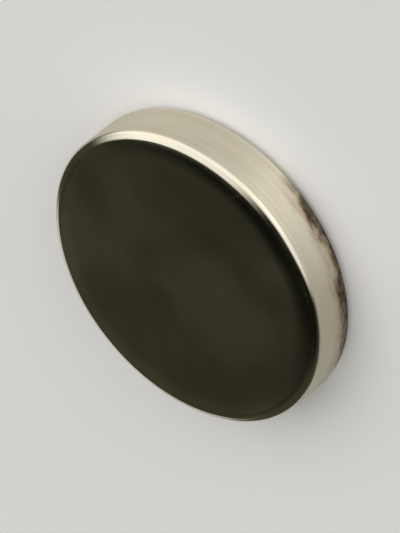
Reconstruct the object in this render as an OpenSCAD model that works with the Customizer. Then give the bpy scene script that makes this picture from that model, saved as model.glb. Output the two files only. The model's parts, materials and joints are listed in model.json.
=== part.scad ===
// Disc magnet: a thin round magnet, plated all over, magnetised from face to face.
// It lies flat on one face. The origin is the centre of that face, and +Z is the
// disc's axis, so everything is turned about Z.

/* [Disc] */
// Diameter across the rim
disc_d = 8; // [3:0.5:30]
// Thickness from face to face
disc_t = 1.4; // [0.8:0.1:6]

/* [Edges] */
// Radius between the rim and the face that the disc lies on
seat_edge_r = 0.2; // [0.05:0.05:0.35]
// Radius between the rim and the face that is on top
top_edge_r = 0.2; // [0.05:0.05:0.35]

/* [Colour] */
// Colour of the plating
plating = "#BDB7A4"; // ["#BDB7A4":Nickel, "#D8B36A":Gold, "#33302E":Epoxy]

/* [Hidden] */
disc_r = disc_d / 2;
seat_face_r = disc_r - seat_edge_r;
top_face_r = disc_r - top_edge_r;
rim_h = disc_t - seat_edge_r - top_edge_r;
$fn = 128;

// Half of the disc's section: the axis is at x = 0 and the rim is at x = disc_r.
module half_section() {
    // the rim's straight wall, between the two rounded edges
    translate([0, seat_edge_r])
        square([disc_r, rim_h]);
    // the core behind each edge, as wide as its flat face
    square([seat_face_r, disc_t / 2]);
    translate([0, disc_t / 2])
        square([top_face_r, disc_t / 2]);
    // the rounded edges, tangent to the rim and to the faces
    translate([seat_face_r, seat_edge_r])
        circle(r = seat_edge_r);
    translate([top_face_r, disc_t - top_edge_r])
        circle(r = top_edge_r);
}

module disc_magnet() {
    color(plating)
        rotate_extrude()
            half_section();
}

disc_magnet();
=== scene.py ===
"""Disc magnet: one nickel-plated disc that lies flat on a pale studio floor.

The disc is turned from half a section, as a lathe turns it, and then gets the faint ripple of its
rounded edges and the small dents of tumbled parts. One material gives the plating its tint, its
polish on the faces, the grinding lines round the rim, and the grime at the seat edge together
with painted shade there: a dark groove line along the edge and a darker end of the rim.
"""

import json
import math
import random

import bmesh
import bpy
from bpy.props import (
    FloatProperty,
    FloatVectorProperty,
    IntProperty,
    PointerProperty,
)
from bpy.types import Operator, Panel, PropertyGroup
from mathutils import Matrix, Vector, noise


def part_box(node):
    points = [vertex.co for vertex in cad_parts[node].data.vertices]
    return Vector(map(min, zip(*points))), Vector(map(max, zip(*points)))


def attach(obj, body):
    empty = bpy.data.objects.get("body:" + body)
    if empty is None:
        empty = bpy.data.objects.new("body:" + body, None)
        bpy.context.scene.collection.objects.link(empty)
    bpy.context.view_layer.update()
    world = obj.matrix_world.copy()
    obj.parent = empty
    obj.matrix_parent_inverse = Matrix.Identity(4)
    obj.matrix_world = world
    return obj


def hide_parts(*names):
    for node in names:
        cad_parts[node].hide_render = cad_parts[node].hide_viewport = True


bl_info = {
    "name": "Disc Magnet",
    "version": (1, 0, 0),
    "blender": (4, 5, 0),
    "location": "View3D > Sidebar > Disc Magnet",
    "description": "Builds a nickel-plated disc magnet and a small studio for it",
    "category": "Add Mesh",
}

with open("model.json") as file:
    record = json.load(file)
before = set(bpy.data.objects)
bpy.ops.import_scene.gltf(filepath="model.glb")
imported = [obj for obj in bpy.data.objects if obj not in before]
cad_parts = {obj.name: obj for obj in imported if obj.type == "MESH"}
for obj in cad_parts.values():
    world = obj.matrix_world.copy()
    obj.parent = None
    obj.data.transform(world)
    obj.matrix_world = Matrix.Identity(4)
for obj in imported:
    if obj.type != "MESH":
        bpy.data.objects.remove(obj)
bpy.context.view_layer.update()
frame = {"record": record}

NODE = "disc_magnet"
BODY = "root"
MM = 0.001


def rim_mount():
    """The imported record's mount for the round rim: its radius and the length of its straight wall."""
    return next(m for m in frame["record"]["mounts"] if m["name"] == "rim")


RIM_RADIUS = rim_mount()["dims"]["r_mm"] * MM
RIM_WALL = rim_mount()["dims"]["length_mm"] * MM
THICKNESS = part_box(NODE)[1].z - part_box(NODE)[0].z


# ---------------------------------------------------------------------------------------------
# Settings
# ---------------------------------------------------------------------------------------------


class DiscSizes(PropertyGroup):
    """Sizes of the disc and of the small unevenness of a real one"""

    radius: FloatProperty(
        name="Radius",
        description="Radius of the rim",
        default=RIM_RADIUS,
        unit="LENGTH",
    )
    thickness: FloatProperty(
        name="Thickness",
        description="Height from face to face",
        default=THICKNESS,
        unit="LENGTH",
    )
    edge_radius: FloatProperty(
        name="Edge radius",
        description="Rounding between the rim and each face",
        default=(THICKNESS - RIM_WALL) / 2,
        unit="LENGTH",
    )
    fall_width: FloatProperty(
        name="Face fall width",
        description="Width of the ring in which each face falls away towards its edge",
        default=0.45 * MM,
        unit="LENGTH",
    )
    fall_depth: FloatProperty(
        name="Face fall depth",
        description="How far each face has fallen where its rounded edge starts",
        default=0.045 * MM,
        unit="LENGTH",
    )
    steps_round: IntProperty(
        name="Steps round",
        description="Faces once round the rim",
        default=576,
    )
    edge_ripple: FloatProperty(
        name="Edge ripple",
        description="How far the rounded edges wander inwards",
        default=0.012 * MM,
        unit="LENGTH",
    )
    line_depth: FloatProperty(
        name="Grinding line depth",
        description="Depth of the ground lines round the rim",
        default=0.0012 * MM,
        unit="LENGTH",
    )
    dents: IntProperty(
        name="Dents",
        description="Number of small dents along the edges",
        default=16,
    )
    dent_depth: FloatProperty(
        name="Dent depth",
        description="Depth of the deepest dent",
        default=0.011 * MM,
        unit="LENGTH",
    )


class PlatingLook(PropertyGroup):
    """Colours and polish of the plating"""

    nickel: FloatVectorProperty(
        name="Nickel",
        description="Tint of the clean plating",
        subtype="COLOR",
        default=(0.715, 0.675, 0.55),
        min=0.0,
        max=1.0,
    )
    nickel_warm: FloatVectorProperty(
        name="Warm nickel",
        description="Tint where the plating has yellowed",
        subtype="COLOR",
        default=(0.70, 0.648, 0.497),
        min=0.0,
        max=1.0,
    )
    # Grime colour, also used for painted shade: the crust darkens the seat edge like the shadow of a
    # groove.
    grime_and_shade: FloatVectorProperty(
        name="Grime",
        description="Brown grime and first rust at the seat edge",
        subtype="COLOR",
        default=(0.03, 0.021, 0.006),
        min=0.0,
        max=1.0,
    )
    # Also painted shade: besides being a real stain, it darkens the end of the rim that turns away from
    # the light.
    stain_and_shade: FloatVectorProperty(
        name="Stain",
        description="Brown stain that spreads a little past the grime",
        subtype="COLOR",
        default=(0.36, 0.24, 0.13),
        min=0.0,
        max=1.0,
    )
    face_roughness: FloatProperty(
        name="Face roughness",
        description="Roughness of the two flat faces",
        default=0.1,
        subtype="FACTOR",
    )
    rim_roughness: FloatProperty(
        name="Rim roughness",
        description="Roughness of the ground rim",
        default=0.43,
        subtype="FACTOR",
    )
    grain: FloatProperty(
        name="Grain",
        description="How much more the grinding lines spread light across them than along them",
        default=0.85,
        subtype="FACTOR",
    )
    # The grimy stretch is also where the painted shade lies, along the seat edge and up the rim.
    grime_and_shade_bearing: FloatProperty(
        name="Grime bearing",
        description="Direction of the grimy stretch of the seat edge, anticlockwise from +X",
        default=math.radians(236),
        subtype="ANGLE",
    )
    grime_and_shade_spread: FloatProperty(
        name="Grime spread",
        description="Half of the angle that the grimy stretch covers",
        default=math.radians(44),
        subtype="ANGLE",
    )


class StudioLook(PropertyGroup):
    """Floor, lights and camera"""

    floor: FloatVectorProperty(
        name="Floor",
        description="Colour of the floor",
        subtype="COLOR",
        default=(0.72, 0.71, 0.695),
        min=0.0,
        max=1.0,
    )
    floor_lift: FloatProperty(
        name="Floor lift",
        description="Brightness that the floor has of its own where it is seen or mirrored",
        default=0.12,
    )
    room: FloatVectorProperty(
        name="Room",
        description="Dim room on the far side of the disc, which its face mirrors",
        subtype="COLOR",
        default=(0.0476, 0.0479, 0.0346),
        min=0.0,
        max=1.0,
    )
    fill_light: FloatProperty(
        name="Fill light",
        description="Brightness of the broad soft light on the camera's side, where 1 is white",
        default=1.35,
    )
    strip_light: FloatProperty(
        name="Strip light",
        description="Brightness of the low strip in front of the disc, where 1 is white",
        default=3.3,
    )
    key_light: FloatProperty(
        name="Key light",
        description="Brightness of the soft box that throws the shadow, where 1 is white",
        default=1.45,
    )
    key_bearing: FloatProperty(
        name="Key bearing",
        description="How far to the right of the camera the soft box is",
        default=math.radians(94),
        subtype="ANGLE",
    )
    key_height: FloatProperty(
        name="Key height",
        description="Angle of the soft box above the floor",
        default=math.radians(46),
        subtype="ANGLE",
    )
    camera_height: FloatProperty(
        name="Camera height",
        description="Angle of the camera above the floor",
        default=math.radians(37.8),
        subtype="ANGLE",
    )
    camera_roll: FloatProperty(
        name="Camera roll",
        description="Turn of the camera about its own line of sight",
        default=math.radians(-128.7),
        subtype="ANGLE",
    )
    camera_diameters: FloatProperty(
        name="Camera distance",
        description="Distance from the disc, in diameters of the disc",
        default=14.5,
    )
    fill: FloatProperty(
        name="Fill",
        description="Share of the picture's width that the disc takes",
        default=0.84,
        subtype="FACTOR",
    )


# ---------------------------------------------------------------------------------------------
# Mesh of the disc
# ---------------------------------------------------------------------------------------------

# Rings of vertices on a face, on a rounded edge and up the straight wall
FACE_RINGS = 24
EDGE_STEPS = 18
WALL_STEPS = 56

# Ripple of the rounded edges: waves per millimetre round the disc and up it
RIPPLE_WAVES = (0.9, 0.9, 1.8)

# Ground lines: how fast they change along the rim, lines per millimetre of height, their share of
# the depth, and a shift that keeps the two sets apart
FINE_LINES = {"along": 0.07, "up": 13, "share": 0.55, "shift": (0.0, 0.0, 0.0)}
BROAD_LINES = {"along": 0.042, "up": 5, "share": 0.45, "shift": (9.0, 4.0, 0.0)}

# Dents: where they lie on the rounded edges, in degrees up from the face, their widths, their
# depths as shares of the deepest, and how many widths out a dent still counts
DENT_SEED = 31
DENT_LEANS = (15, 75)
DENT_WIDTHS = (0.03 * MM, 0.085 * MM)
DENT_SHARES = (0.3, 1.0)
DENT_REACH = 3


def flat_radii(face_radius):
    """Radii of the rings on a flat face, closer together towards its edge."""
    shares = [1 - (1 - i / FACE_RINGS) ** 2 for i in range(1, FACE_RINGS + 1)]
    return [face_radius * share for share in shares]


def quarter(centre, radius, start):
    """Points of a quarter round, anticlockwise from the angle start, without its two ends."""
    angles = [start + math.pi / 2 * i / EDGE_STEPS for i in range(1, EDGE_STEPS)]
    return [(centre[0] + radius * math.cos(a), centre[1] + radius * math.sin(a)) for a in angles]


def half_section(sizes):
    """Points (radius, height) from the seat face's centre round the rim to the top face's centre."""
    edge = sizes.edge_radius
    face_radius = sizes.radius - edge
    top = sizes.thickness
    wall = top - 2 * edge
    radii = flat_radii(face_radius)
    points = [(r, 0.0) for r in radii]
    points += quarter((face_radius, edge), edge, -math.pi / 2)
    points += [(sizes.radius, edge + wall * i / WALL_STEPS) for i in range(WALL_STEPS + 1)]
    points += quarter((face_radius, top - edge), edge, 0.0)
    points += [(r, top) for r in reversed(radii)]
    return points


def outward(sizes, radius, height):
    """Direction (out, up) in which the plain section faces at a point."""
    edge = sizes.edge_radius
    out = max(radius - (sizes.radius - edge), 0.0)
    up = height - min(max(height, edge), sizes.thickness - edge)
    length = math.hypot(out, up)
    return (out / length, up / length) if length else (0.0, 0.0)


def fall(sizes, radius, up):
    """Depth by which a face falls away near its edge, faded out over the rounded edge."""
    gap = sizes.radius - sizes.edge_radius - radius
    share = max(1 - gap / sizes.fall_width, 0.0)
    return sizes.fall_depth * share * share * up * up


def ripple(sizes, spot, out, up):
    """Depth by which a rounded edge wanders inwards: none on the wall and on the flat faces."""
    share = 4 * out * out * up * up
    swell = 0.5 + 0.5 * noise.noise(spot / MM * Vector(RIPPLE_WAVES))
    return sizes.edge_ripple * share * swell


def line_set(spot, along, up, share, shift):
    """Rise and fall of one set of ground lines at a point."""
    place = Vector((spot.x * along, spot.y * along, spot.z * up)) / MM
    return share * noise.noise(place + Vector(shift))


def ground_lines(sizes, spot, out):
    """Depth of the ground lines, which run round the rim and fade in and out along it."""
    lines = line_set(spot, **FINE_LINES) + line_set(spot, **BROAD_LINES)
    return sizes.line_depth * out ** 4 * (1 + lines)


def scatter_dents(sizes):
    """Centres, widths and depths of small dents along both edges, the same on every run."""
    dice = random.Random(DENT_SEED)
    edge = sizes.edge_radius
    dents = []
    for _ in range(sizes.dents):
        bearing = dice.uniform(0, 2 * math.pi)
        lean = math.radians(dice.uniform(*DENT_LEANS))
        reach = sizes.radius - edge + edge * math.sin(lean)
        rise = edge * (1 - math.cos(lean))
        height = dice.choice((rise, sizes.thickness - rise))
        centre = Vector((reach * math.cos(bearing), reach * math.sin(bearing), height))
        width = dice.uniform(*DENT_WIDTHS)
        depth = sizes.dent_depth * dice.uniform(*DENT_SHARES)
        dents.append((centre, width, depth))
    return dents


def dent_depth(dents, spot):
    """Depth of the dents at a point."""
    depth = 0.0
    for centre, width, deepest in dents:
        gap = (spot - centre).length / width
        if gap < DENT_REACH:
            depth += deepest * math.exp(-gap * gap)
    return depth


def worn_spot(sizes, dents, radius, height, bearing):
    """The point of the section at a bearing, moved in by the wear and the unevenness there."""
    east = math.cos(bearing)
    north = math.sin(bearing)
    spot = Vector((radius * east, radius * north, height))
    out, up = outward(sizes, radius, height)
    depth = fall(sizes, radius, up)
    depth += ripple(sizes, spot, out, up)
    depth += ground_lines(sizes, spot, out)
    depth += dent_depth(dents, spot)
    return spot - Vector((out * east, out * north, up)) * depth


def disc_mesh(sizes):
    """The disc as a turned mesh with uneven edges, a ground rim and dents."""
    section = half_section(sizes)
    dents = scatter_dents(sizes)
    form = bmesh.new()
    rings = []
    for step in range(sizes.steps_round):
        bearing = 2 * math.pi * step / sizes.steps_round
        spots = [worn_spot(sizes, dents, radius, height, bearing) for radius, height in section]
        rings.append([form.verts.new(spot) for spot in spots])
    neighbours = list(zip(rings, rings[1:] + rings[:1]))
    for ring, following in neighbours:
        for i in range(len(section) - 1):
            form.faces.new((ring[i], following[i], following[i + 1], ring[i + 1]))
    for end, height in ((0, 0.0), (-1, sizes.thickness)):
        hub = form.verts.new((0.0, 0.0, height))
        for ring, following in neighbours:
            corners = (hub, following[end], ring[end])
            form.faces.new(corners if end == 0 else corners[::-1])
    for face in form.faces:
        face.smooth = True
    bmesh.ops.recalc_face_normals(form, faces=form.faces)
    mesh = bpy.data.meshes.new("nickel_disc")
    form.to_mesh(mesh)
    form.free()
    return mesh


# ---------------------------------------------------------------------------------------------
# Materials
# ---------------------------------------------------------------------------------------------


class Nodes:
    """Adds nodes to a tree. Most methods return the socket that carries their result."""

    def __init__(self, tree):
        self.tree = tree
        tree.nodes.clear()

    def node(self, kind, inputs=None, **settings):
        """Makes a node, fills in its settings and inputs, and returns it."""
        made = self.tree.nodes.new(kind)
        for name, value in settings.items():
            setattr(made, name, value)
        for name, value in (inputs or {}).items():
            self.feed(made.inputs[name], value)
        return made

    def add(self, kind, inputs=None, out=0, **settings):
        """Makes a node and returns one of its results."""
        return self.node(kind, inputs, **settings).outputs[out]

    def feed(self, socket, value):
        """Links a result to a socket, or writes a number, a vector or a colour into it."""
        if isinstance(value, bpy.types.NodeSocket):
            self.tree.links.new(value, socket)
        elif isinstance(value, (int, float)):
            socket.default_value = value
        else:
            socket.default_value = tuple(value) + (1.0,) * (len(socket.default_value) - len(value))

    def maths(self, operation, *values):
        return self.add("ShaderNodeMath", dict(enumerate(values)), operation=operation)

    def vector(self, operation, *values, out=0):
        return self.add("ShaderNodeVectorMath", dict(enumerate(values)), out, operation=operation)

    def fade(self, value, start, end, low=0.0, high=1.0):
        """A smooth step from low, at start, to high, at end."""
        inputs = {"Value": value, "From Min": start, "From Max": end, "To Min": low, "To Max": high}
        return self.add("ShaderNodeMapRange", inputs, interpolation_type="SMOOTHSTEP")

    def between(self, share, first, second):
        """A number that goes from the first to the second as the share goes from 0 to 1."""
        return self.add("ShaderNodeMix", {"Factor": share, 2: first, 3: second})

    def mix(self, share, first, second):
        """A colour that goes from the first to the second as the share goes from 0 to 1."""
        inputs = {"Factor": share, 6: first, 7: second}
        return self.add("ShaderNodeMix", inputs, out=2, data_type="RGBA")

    def tinge(self, colour, mask, share, second):
        """A colour with at most the given share of a second one, where the mask is 1."""
        return self.mix(self.maths("MULTIPLY", mask, share), colour, second)

    def noise(self, place, scale, detail=2.0, roughness=0.5, warp=0.0):
        inputs = {"Vector": place, "Scale": scale, "Detail": detail, "Roughness": roughness}
        inputs["Distortion"] = warp
        return self.add("ShaderNodeTexNoise", inputs)

    def stretched_noise(self, place, stretch, detail, roughness=0.5):
        """Noise with a scale of its own along each axis."""
        return self.noise(self.vector("MULTIPLY", place, stretch), 1.0, detail, roughness)


# How level the surface is, from 0, upright, to 1, flat: where the plain face begins, and where the
# ground finish of the rim turns into the polish of the faces
FACE_LEVELS = (0.80, 0.995)
POLISH_LEVELS = (0.30, 0.85)

# Noise of the plating: scale per millimetre, detail, roughness and warp
PATCH_NOISE = (0.6, 5.0, 0.6, 0.3)
CLOUD_NOISE = (0.35, 2.0, 0.45, 0.3)
HAZE_NOISE = (1.6, 6.0, 0.68, 0.8)
RING_NOISE = (0.7, 3.0)
PEEL_NOISE = (3.2, 2.0)

# Stretched noise of the plating: scales per millimetre along each axis, detail and roughness
BAND_NOISE = ((0.55, 0.55, 1.1), 3.0, 0.6)
GRINDING_NOISE = ((0.22, 0.22, 26.0), 3.0, 0.65)
CREEP_NOISE = ((1.1, 1.1, 3.6), 5.0, 0.62)
SWELL_NOISE = ((0.9, 0.9, 0.54), 1.0)
SCRATCH_NOISE = ((0.16, 24.0, 0.0), 1.0)
CLOUD_SHIFT = (7.3, 2.7, 5.1)

# Where a noise counts, from not at all to fully
WARM_RANGE = (0.38, 0.62)
CLOUD_RANGE = (0.66, 0.34)
GRINDING_RANGE = (0.56, 0.38)
RING_RANGE = (0.38, 0.62)
POLISH_RANGE = (0.3, 0.7)

# Scratches: their bearings in degrees, the shift from one set to the next, where a crest of their
# noise counts, and the noise that breaks them up
SCRATCH_BEARINGS = (12.0, 63.0, 104.0, 151.0)
SCRATCH_SHIFT = Vector((3.1, 1.7, 0.0))
SCRATCH_CREST = (0.70, 0.80)
BREAK_NOISE = (0.5, 1.0)
BREAK_RANGE = (0.48, 0.64)

# Pinholes: cells per millimetre, the hole's edge and middle, and the share of cells without one
PIT_CELLS = 1.7
PIT_EDGE = (0.055, 0.02)
PITLESS = 0.72

# Grime and painted shade at the seat edge: weight of the noise and of the height, the levels of crust
# and stain, the share of the stretch that has all of it, and how far it reaches in under the disc, in
# millimetres
CREEP_WEIGHT = 0.62
HEIGHT_WEIGHT = -0.70
CRUST_AND_SHADE_RANGE = (0.0, 0.15)
STAIN_AND_SHADE_RANGE = (-0.17, 0.11)
FULL_STRETCH = 0.6
GRIME_AND_SHADE_REACH = 0.2

# Share of the crust's tint, which is grime and painted groove shade, where it lies thin and where it
# lies thick, and the haze it follows
GRIT_SHARES = (0.72, 1.0)
GRIT_RANGE = (0.38, 0.58)

# The dull ring: its distance inside the face's edge and its half-width, in millimetres
RING_INSET = 0.06
RING_WIDTH = 0.08

# Share of the tint that each mark takes
CLOUD_SHARE = 0.32
GRINDING_SHARE = 0.10
RING_SHARE = 0.32
PIT_SHARE = 0.6
# The stain's tint is partly painted shade at one end of the rim.
STAIN_AND_SHADE_SHARE = 0.75

# Roughness: how far haze and grinding shift it, what each mark adds, and the grime's own
FACE_SHIFT = (-0.01, 0.012)
RIM_SHIFT = (-0.05, 0.06)
SCRATCH_DULLS = 0.18
RING_DULLS = 0.04
PIT_DULLS = 0.25
GRIME_ROUGHNESS = 0.62
GRIME_METALLIC = 0.25

# Relief of each mark, upwards
PEEL_RELIEF = 0.0010 * MM
SWELL_RELIEF = 0.005 * MM
SCRATCH_RELIEF = -0.0010 * MM
PIT_RELIEF = -0.004 * MM
GRINDING_RELIEF = 0.005 * MM
GRIME_RELIEF = 0.01 * MM

# A quarter turn, which lays the long side of a highlight across the ground lines
ACROSS_LINES = 0.25


def hairlines(nodes, place):
    """Fine scratches across a flat face: long thin noise in each bearing, broken up along its length."""
    total = None
    for i, bearing in enumerate(SCRATCH_BEARINGS):
        turn = (0.0, 0.0, math.radians(bearing))
        turned = nodes.add("ShaderNodeMapping", {"Vector": place, "Rotation": turn})
        shifted = nodes.vector("ADD", turned, SCRATCH_SHIFT * i)
        crest = nodes.fade(nodes.stretched_noise(shifted, *SCRATCH_NOISE), *SCRATCH_CREST)
        stretch = nodes.fade(nodes.noise(shifted, *BREAK_NOISE), *BREAK_RANGE)
        scratch = nodes.maths("MULTIPLY", crest, stretch)
        total = scratch if total is None else nodes.maths("MAXIMUM", total, scratch)
    return total


def pits(nodes, place):
    """Sparse pinholes in the plating: one in a few cells of a cell pattern has a small pit."""
    inputs = {"Vector": place, "Scale": PIT_CELLS, "Randomness": 1.0}
    cells = nodes.node("ShaderNodeTexVoronoi", inputs)
    centre = nodes.fade(cells.outputs["Distance"], *PIT_EDGE)
    draw = nodes.vector("DOT_PRODUCT", cells.outputs["Color"], (1.0, 0.0, 0.0), out="Value")
    return nodes.maths("MULTIPLY", centre, nodes.maths("GREATER_THAN", draw, PITLESS))


def dull_ring(nodes, place, from_axis, face_radius):
    """The faint line that a neighbour's edge leaves just inside the edge of a face."""
    gap = nodes.maths("ABSOLUTE", nodes.maths("SUBTRACT", from_axis, face_radius - RING_INSET))
    ring = nodes.fade(gap, RING_WIDTH, 0.0)
    return nodes.maths("MULTIPLY", ring, nodes.fade(nodes.noise(place, *RING_NOISE), *RING_RANGE))


def grime_and_shade_masks(nodes, look, place, flat, from_axis, face_radius):
    """Crust and stain that creep up from the seat edge over part of the way round. Both are grime that
    also carries painted shade: the crust a groove's shadow along the edge, the stain a darker end of the
    rim.
    """
    bearing = Vector((math.cos(look.grime_and_shade_bearing), math.sin(look.grime_and_shade_bearing), 0.0))
    near = nodes.vector("DOT_PRODUCT", nodes.vector("NORMALIZE", flat), bearing, out="Value")
    ends = math.cos(look.grime_and_shade_spread)
    full = math.cos(look.grime_and_shade_spread * FULL_STRETCH)
    outer = nodes.fade(from_axis, face_radius - GRIME_AND_SHADE_REACH, face_radius)
    stretch = nodes.maths("MULTIPLY", nodes.fade(near, ends, full), outer)
    height = nodes.vector("DOT_PRODUCT", place, (0.0, 0.0, 1.0), out="Value")
    creep = nodes.stretched_noise(place, *CREEP_NOISE)
    sink = nodes.maths("MULTIPLY", height, HEIGHT_WEIGHT)
    level = nodes.maths("MULTIPLY_ADD", creep, CREEP_WEIGHT, sink)
    crust_and_shade = nodes.maths("MULTIPLY", nodes.fade(level, *CRUST_AND_SHADE_RANGE), stretch)
    stain_and_shade = nodes.maths("MULTIPLY", nodes.fade(level, *STAIN_AND_SHADE_RANGE), stretch)
    return crust_and_shade, stain_and_shade


def clean_tint(nodes, look, place, on_face, on_rim, grinding):
    """Tint of the plating: slow patches and clouds on the faces, bands and ground lines round the rim."""
    patches = nodes.noise(place, *PATCH_NOISE)
    bands = nodes.stretched_noise(place, *BAND_NOISE)
    warmth = nodes.fade(nodes.between(on_face, bands, patches), *WARM_RANGE)
    tint = nodes.mix(warmth, look.nickel, look.nickel_warm)
    clouds = nodes.noise(nodes.vector("ADD", place, CLOUD_SHIFT), *CLOUD_NOISE)
    clouds = nodes.maths("MULTIPLY", nodes.fade(clouds, *CLOUD_RANGE), on_face)
    tint = nodes.tinge(tint, clouds, CLOUD_SHARE, look.grime_and_shade)
    lines = nodes.maths("MULTIPLY", nodes.fade(grinding, *GRINDING_RANGE), on_rim)
    return nodes.tinge(tint, lines, GRINDING_SHARE, look.grime_and_shade)


def clean_roughness(nodes, look, haze, polished, grinding):
    """Roughness of the plating: hazy polish on the faces, ground lines round the rim."""
    face_ends = [look.face_roughness + shift for shift in FACE_SHIFT]
    rim_ends = [look.rim_roughness + shift for shift in RIM_SHIFT]
    face_polish = nodes.fade(haze, *POLISH_RANGE, *face_ends)
    rim_polish = nodes.fade(grinding, *POLISH_RANGE, *rim_ends)
    return nodes.between(polished, rim_polish, face_polish)


def plating_relief(nodes, place, marks):
    """Height of the finest relief: orange peel and swell everywhere, and each mark's own depth."""
    relief = nodes.maths("MULTIPLY", nodes.noise(place, *PEEL_NOISE), PEEL_RELIEF)
    swell = nodes.stretched_noise(place, *SWELL_NOISE)
    for mask, depth in [(swell, SWELL_RELIEF), *marks]:
        relief = nodes.maths("MULTIPLY_ADD", mask, depth, relief)
    return nodes.add("ShaderNodeBump", {"Height": relief, "Strength": 1.0, "Distance": 1.0})


def plating_material(look, sizes):
    """Nickel plating: polished faces, a ground rim, a dull ring on each face, and some grime, with
    painted shade at the seat edge and at one end of the rim.
    """
    material = bpy.data.materials.new("nickel_plating")
    material.use_nodes = True
    nodes = Nodes(material.node_tree)
    face_radius = (sizes.radius - sizes.edge_radius) / MM

    # places in millimetres, and which finish a place has
    coordinates = nodes.node("ShaderNodeTexCoord").outputs
    place = nodes.vector("MULTIPLY", coordinates["Object"], (1 / MM, 1 / MM, 1 / MM))
    flat = nodes.vector("MULTIPLY", place, (1.0, 1.0, 0.0))
    from_axis = nodes.vector("LENGTH", flat, out="Value")
    facing = nodes.vector("DOT_PRODUCT", coordinates["Normal"], (0.0, 0.0, 1.0), out="Value")
    level = nodes.maths("ABSOLUTE", facing)
    on_face = nodes.fade(level, *FACE_LEVELS)
    on_rim = nodes.maths("SUBTRACT", 1.0, on_face)
    polished = nodes.fade(level, *POLISH_LEVELS)

    # marks: where each one is, from 0 to 1
    grinding = nodes.stretched_noise(place, *GRINDING_NOISE)
    haze = nodes.noise(place, *HAZE_NOISE)
    ring = nodes.maths("MULTIPLY", dull_ring(nodes, place, from_axis, face_radius), on_face)
    scratches = nodes.maths("MULTIPLY", hairlines(nodes, flat), on_face)
    specks = pits(nodes, place)
    # Crust and stain are grime together with painted shade: a groove's shadow and a darker end of the
    # rim.
    crust_and_shade, stain_and_shade = grime_and_shade_masks(nodes, look, place, flat, from_axis, face_radius)

    tint = clean_tint(nodes, look, place, on_face, on_rim, grinding)
    tint = nodes.tinge(tint, ring, RING_SHARE, look.grime_and_shade)
    tint = nodes.tinge(tint, specks, PIT_SHARE, look.grime_and_shade)
    tint = nodes.tinge(tint, stain_and_shade, STAIN_AND_SHADE_SHARE, look.stain_and_shade)
    grit = nodes.fade(haze, *GRIT_RANGE, *GRIT_SHARES)
    tint = nodes.mix(nodes.maths("MULTIPLY", crust_and_shade, grit), tint, look.grime_and_shade)
    metallic = nodes.fade(crust_and_shade, 0.0, 1.0, 1.0, GRIME_METALLIC)

    roughness = clean_roughness(nodes, look, haze, polished, grinding)
    for mask, dulls in ((scratches, SCRATCH_DULLS), (ring, RING_DULLS), (specks, PIT_DULLS)):
        roughness = nodes.maths("MULTIPLY_ADD", mask, dulls, roughness)
    roughness = nodes.between(crust_and_shade, roughness, GRIME_ROUGHNESS)

    grooves = nodes.maths("MULTIPLY", grinding, on_rim)
    marks = ((scratches, SCRATCH_RELIEF), (specks, PIT_RELIEF), (grooves, GRINDING_RELIEF))
    bump = plating_relief(nodes, place, (*marks, (crust_and_shade, GRIME_RELIEF)))

    around = nodes.add("ShaderNodeTangent", direction_type="RADIAL", axis="Z")
    around = nodes.mix(on_face, around, (0.0, 1.0, 0.0))
    plating = {"Base Color": tint, "Metallic": metallic, "Roughness": roughness, "Normal": bump}
    grain = {"Anisotropic": look.grain, "Anisotropic Rotation": ACROSS_LINES, "Tangent": around}
    surface = nodes.add("ShaderNodeBsdfPrincipled", {**plating, **grain})
    nodes.node("ShaderNodeOutputMaterial", {"Surface": surface})
    return material


# Floor board: scale per metre and detail of its mottling, the darkest share of its colour, and its
# roughness
MOTTLE_NOISE = (90.0, 3.0)
MOTTLE_SHADE = 0.985
FLOOR_ROUGHNESS = 0.9


def floor_material(studio):
    """Pale matt board with the slightest mottling, a little lighter where it is seen or mirrored."""
    material = bpy.data.materials.new("studio_floor")
    material.use_nodes = True
    nodes = Nodes(material.node_tree)
    coordinates = nodes.add("ShaderNodeTexCoord", out="Object")
    mottle = nodes.noise(coordinates, *MOTTLE_NOISE)
    shade = nodes.mix(mottle, studio.floor, [MOTTLE_SHADE * c for c in studio.floor])
    path = nodes.node("ShaderNodeLightPath").outputs
    seen = nodes.maths("MAXIMUM", path["Is Camera Ray"], path["Is Glossy Ray"])
    seen = nodes.maths("MAXIMUM", seen, path["Is Transmission Ray"])
    lift = nodes.maths("MULTIPLY", seen, studio.floor_lift)
    board = {"Base Color": shade, "Roughness": FLOOR_ROUGHNESS}
    glow = {"Emission Color": shade, "Emission Strength": lift}
    surface = nodes.add("ShaderNodeBsdfPrincipled", {**board, **glow})
    nodes.node("ShaderNodeOutputMaterial", {"Surface": surface})
    return material


# ---------------------------------------------------------------------------------------------
# Studio
# ---------------------------------------------------------------------------------------------

# The round floor: its radius in metres and its number of sides
FLOOR_RADIUS = 0.5
FLOOR_SIDES = 96

# Soft lights: where the broad fill and the low strip are, how far each spreads and how soft its
# edge is, and the same spread and edge for the soft box
FILL_SHAPE = {
    "azimuth": math.radians(3),
    "height": math.radians(34),
    "spread": math.radians(48),
    "soft": math.radians(14),
}
STRIP_SHAPE = {
    "azimuth": math.radians(3),
    "height": math.radians(3),
    "spread": math.radians(20),
    "soft": math.radians(6),
}
KEY_SHAPE = {"spread": math.radians(36), "soft": math.radians(9)}

# The room: brighter than its colour low down and darker overhead, between these two heights
LOW_ROOM = 1.35
HIGH_ROOM = 0.15
ROOM_FADE = (math.sin(math.radians(30)), math.sin(math.radians(56)))

# The pale band where the floor ends: its share of the floor's colour, and where it fades in
BAND_SHADE = 0.85
BAND_FADE = (math.sin(math.radians(8)), math.sin(math.radians(3)))

# Camera: the picture's sides, the sensor in millimetres, and the nearest and farthest thing shown,
# in camera distances
PICTURE_WIDTH = 400
PICTURE_HEIGHT = 533
SENSOR_WIDTH = 36.0
NEAREST = 0.1
FARTHEST = 40


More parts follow.
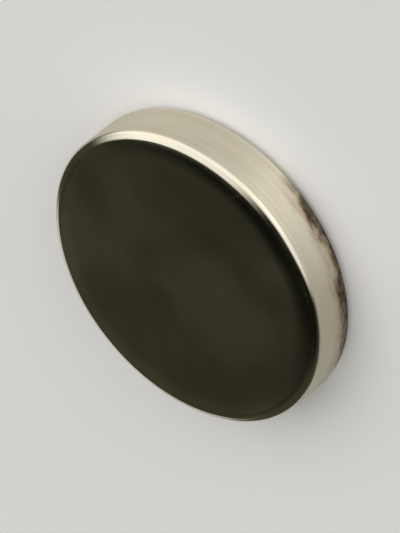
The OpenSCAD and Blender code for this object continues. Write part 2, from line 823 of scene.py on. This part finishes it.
def make_floor(studio):
    """A round pale floor under the disc."""
    form = bmesh.new()
    bmesh.ops.create_circle(form, cap_ends=True, segments=FLOOR_SIDES, radius=FLOOR_RADIUS)
    mesh = bpy.data.meshes.new("studio_floor")
    form.to_mesh(mesh)
    form.free()
    mesh.materials.append(floor_material(studio))
    floor = bpy.data.objects.new("studio_floor", mesh)
    bpy.context.collection.objects.link(floor)


def direction(azimuth, height):
    """Unit vector towards a bearing and a height. Azimuth 0 is at -Y, where the camera is."""
    level = math.cos(height)
    return Vector((math.sin(azimuth) * level, -math.cos(azimuth) * level, math.sin(height)))


def soft_light(nodes, towards, azimuth, height, spread, soft):
    """Share of a round light that shines from a direction, with a soft edge."""
    near = nodes.vector("DOT_PRODUCT", towards, direction(azimuth, height), out="Value")
    return nodes.fade(near, math.cos(spread + soft), math.cos(spread - soft))


def make_room(studio):
    """A dim room with a broad fill, a low strip, a soft box, and a pale band where the floor ends."""
    world = bpy.data.worlds.new("studio_room")
    bpy.context.scene.world = world
    world.use_nodes = True
    nodes = Nodes(world.node_tree)
    towards = nodes.add("ShaderNodeTexCoord", out="Generated")
    rise = nodes.vector("DOT_PRODUCT", towards, (0.0, 0.0, 1.0), out="Value")
    low = [LOW_ROOM * c for c in studio.room]
    high = [HIGH_ROOM * c for c in studio.room]
    colour = nodes.mix(nodes.fade(rise, *ROOM_FADE), low, high)
    edge = [BAND_SHADE * c for c in studio.floor]
    colour = nodes.mix(nodes.fade(rise, *BAND_FADE), colour, edge)
    fill = soft_light(nodes, towards, **FILL_SHAPE)
    colour = nodes.mix(fill, colour, [studio.fill_light] * 3)
    strip = soft_light(nodes, towards, **STRIP_SHAPE)
    colour = nodes.mix(strip, colour, [studio.strip_light] * 3)
    key = soft_light(nodes, towards, studio.key_bearing, studio.key_height, **KEY_SHAPE)
    colour = nodes.mix(key, colour, [studio.key_light] * 3)
    surface = nodes.add("ShaderNodeBackground", {"Color": colour, "Strength": 1.0})
    nodes.node("ShaderNodeOutputWorld", {"Surface": surface})


def aim(camera, height, distance, target, roll):
    """Puts the camera at a height above the target, facing it, and rolls it."""
    back = direction(0.0, height)
    place = Matrix.Translation(target + back * distance)
    turn = (-back).to_track_quat("-Z", "Y").to_matrix().to_4x4()
    camera.matrix_world = place @ turn @ Matrix.Rotation(roll, 4, "Z")


def make_camera(studio, sizes):
    """The camera, aimed at the disc's middle, with the lens that lets the disc fill the picture."""
    data = bpy.data.cameras.new("camera")
    camera = bpy.data.objects.new("camera", data)
    bpy.context.collection.objects.link(camera)
    distance = 2 * sizes.radius * studio.camera_diameters
    width = 2 * sizes.radius / studio.fill
    height = width * PICTURE_HEIGHT / PICTURE_WIDTH
    data.sensor_width = SENSOR_WIDTH
    data.lens = SENSOR_WIDTH * distance / height
    data.clip_start = distance * NEAREST
    data.clip_end = distance * FARTHEST
    middle = Vector((0.0, 0.0, sizes.thickness / 2))
    aim(camera, studio.camera_height, distance, middle, studio.camera_roll)
    bpy.context.scene.camera = camera


# ---------------------------------------------------------------------------------------------
# Operators and panel
# ---------------------------------------------------------------------------------------------


class DISCMAGNET_OT_add_disc(Operator):
    """Build the plated disc"""

    bl_idname = "disc_magnet.add_disc"
    bl_label = "Disc"
    bl_options = {"REGISTER", "UNDO"}

    def execute(self, context):
        scene = context.scene
        mesh = disc_mesh(scene.disc_sizes)
        mesh.materials.append(plating_material(scene.plating_look, scene.disc_sizes))
        disc = bpy.data.objects.new("nickel_disc", mesh)
        context.collection.objects.link(disc)
        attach(disc, BODY)
        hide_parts(NODE)
        return {"FINISHED"}


class DISCMAGNET_OT_add_studio(Operator):
    """Build the floor, the lights and the camera"""

    bl_idname = "disc_magnet.add_studio"
    bl_label = "Studio"
    bl_options = {"REGISTER", "UNDO"}

    def execute(self, context):
        scene = context.scene
        make_floor(scene.studio_look)
        make_room(scene.studio_look)
        make_camera(scene.studio_look, scene.disc_sizes)
        scene.view_settings.view_transform = "Standard"
        return {"FINISHED"}


class DISCMAGNET_PT_sidebar(Panel):
    """Settings and pieces of the disc magnet"""

    bl_idname = "DISCMAGNET_PT_sidebar"
    bl_label = "Disc Magnet"
    bl_space_type = "VIEW_3D"
    bl_region_type = "UI"
    bl_category = "Disc Magnet"

    def draw(self, context):
        scene = context.scene
        layout = self.layout
        for group, operator in (
            (scene.disc_sizes, None),
            (scene.plating_look, DISCMAGNET_OT_add_disc),
            (scene.studio_look, DISCMAGNET_OT_add_studio),
        ):
            column = layout.column(align=True)
            for name in group.__annotations__:
                column.prop(group, name)
            if operator:
                column.operator(operator.bl_idname)


CLASSES = (
    DiscSizes,
    PlatingLook,
    StudioLook,
    DISCMAGNET_OT_add_disc,
    DISCMAGNET_OT_add_studio,
    DISCMAGNET_PT_sidebar,
)


def register():
    for made in CLASSES:
        bpy.utils.register_class(made)
    bpy.types.Scene.disc_sizes = PointerProperty(type=DiscSizes)
    bpy.types.Scene.plating_look = PointerProperty(type=PlatingLook)
    bpy.types.Scene.studio_look = PointerProperty(type=StudioLook)


def unregister():
    del bpy.types.Scene.studio_look
    del bpy.types.Scene.plating_look
    del bpy.types.Scene.disc_sizes
    for made in reversed(CLASSES):
        bpy.utils.unregister_class(made)


def main():
    register()
    bpy.ops.disc_magnet.add_disc()
    bpy.ops.disc_magnet.add_studio()


if __name__ == "__main__":
    main()
